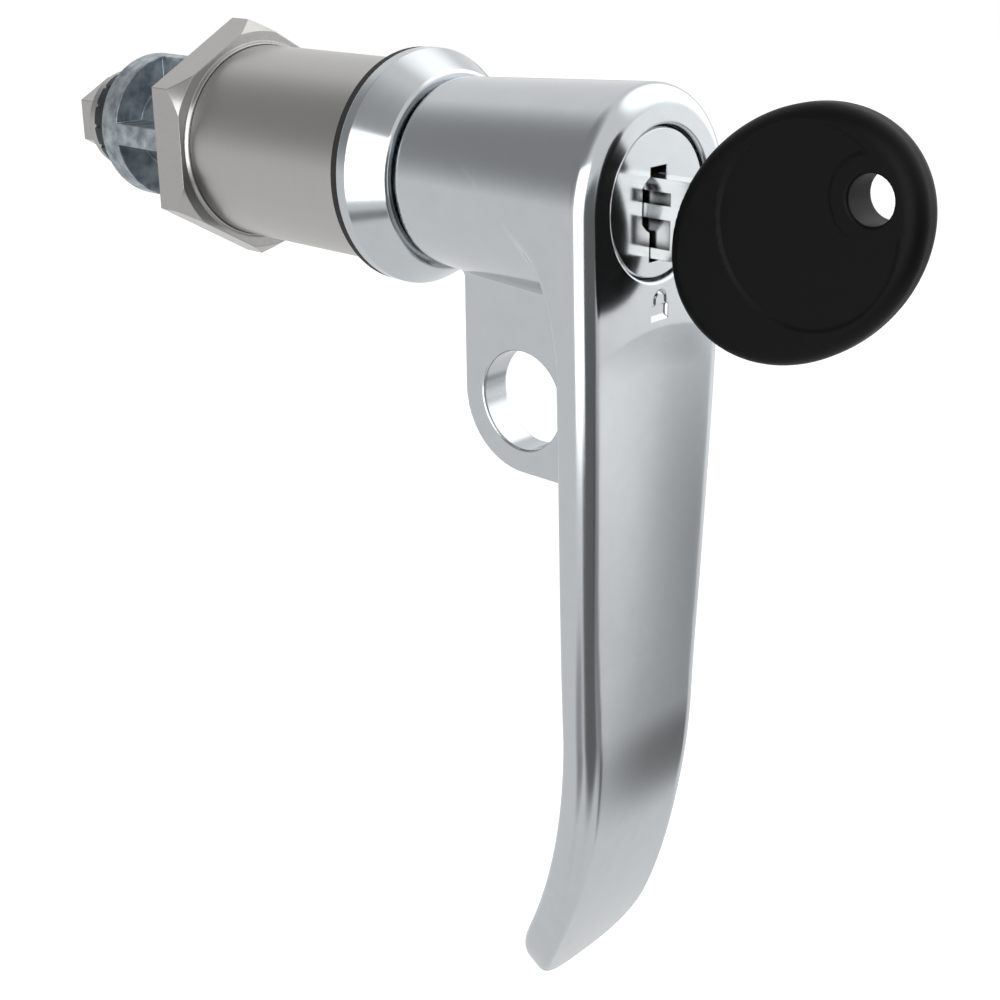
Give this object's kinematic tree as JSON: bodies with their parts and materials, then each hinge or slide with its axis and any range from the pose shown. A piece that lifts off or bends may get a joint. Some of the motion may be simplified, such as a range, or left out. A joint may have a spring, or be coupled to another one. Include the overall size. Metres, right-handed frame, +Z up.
{
  "type": "quarter-turn cam latch",
  "caption": "Quarter-turn cabinet latch with a curved locking L-handle, padlock eye, key, round panel housing with nut, and a square seat for a cam at the rear.",
  "frame": {"origin": "where the turning axis meets the front surface of the door, which is the gasket's rear face", "axes": "+Y along the turning axis into the cabinet, -Y towards the user, +Z up, grip hanging down along -Z at rest"},
  "size_m": [0.025, 0.1182, 0.1041],
  "materials": {
    "nickel": "nickel plated, satin",
    "chrome": "polished chrome plate",
    "rubber": "matt black",
    "steel": "ground steel",
    "bronze": "sintered bronze",
    "zinc": "bare die-cast zinc, mottled",
    "black_steel": "black oxide",
    "white_plastic": "natural polymer",
    "black_plastic": "satin black, moulded"
  },
  "bodies": {
    "housing": {"threaded_sleeve": "nickel", "escutcheon_flange": "chrome", "flange_gasket": "rubber", "mounting_nut": "nickel", "keeper_ring": "steel", "front_bush": "bronze", "rear_bush": "bronze", "stop_pin": "steel", "thrust_washer": "white_plastic"},
    "handle": {"handle": "chrome", "spindle": "steel", "spindle_pin": "steel", "o_ring_seal": "rubber", "lock_barrel": "nickel", "barrel_retainer": "steel", "cam_driver": "zinc", "cam_spacer": "black_steel", "lock_washer": "black_steel", "flat_washer": "nickel", "hex_screw": "nickel"},
    "plug": {"lock_plug": "chrome", "tumbler_wafers": "bronze", "plug_clip": "steel", "tail_shaft": "steel"},
    "bolt": {"lock_bolt": "steel"},
    "key": {"key_blade": "steel", "key_bow": "black_plastic"}
  },
  "joints": [
    {"name": "handle_turn", "type": "hinge", "parent": "housing", "child": "handle", "pos_m": [0, 0, 0], "axis": [0, 1, 0], "range_deg": [0, 90]},
    {"name": "key_turn", "type": "hinge", "parent": "handle", "child": "plug", "pos_m": [0, 0, 0], "axis": [0, 1, 0], "range_deg": [0, 90]},
    {"name": "key_pull", "type": "slide", "parent": "plug", "child": "key", "axis": [0, -1, 0], "range_m": [0, 0.024]},
    {"name": "bolt_throw", "type": "slide", "parent": "handle", "child": "bolt", "axis": [1, 0, 0], "range_m": [0, 0.0012]}
  ],
  "couplings": [
    {"joint": "bolt_throw", "follows": "key_turn", "m_per_rad": 0.00076394}
  ]
}
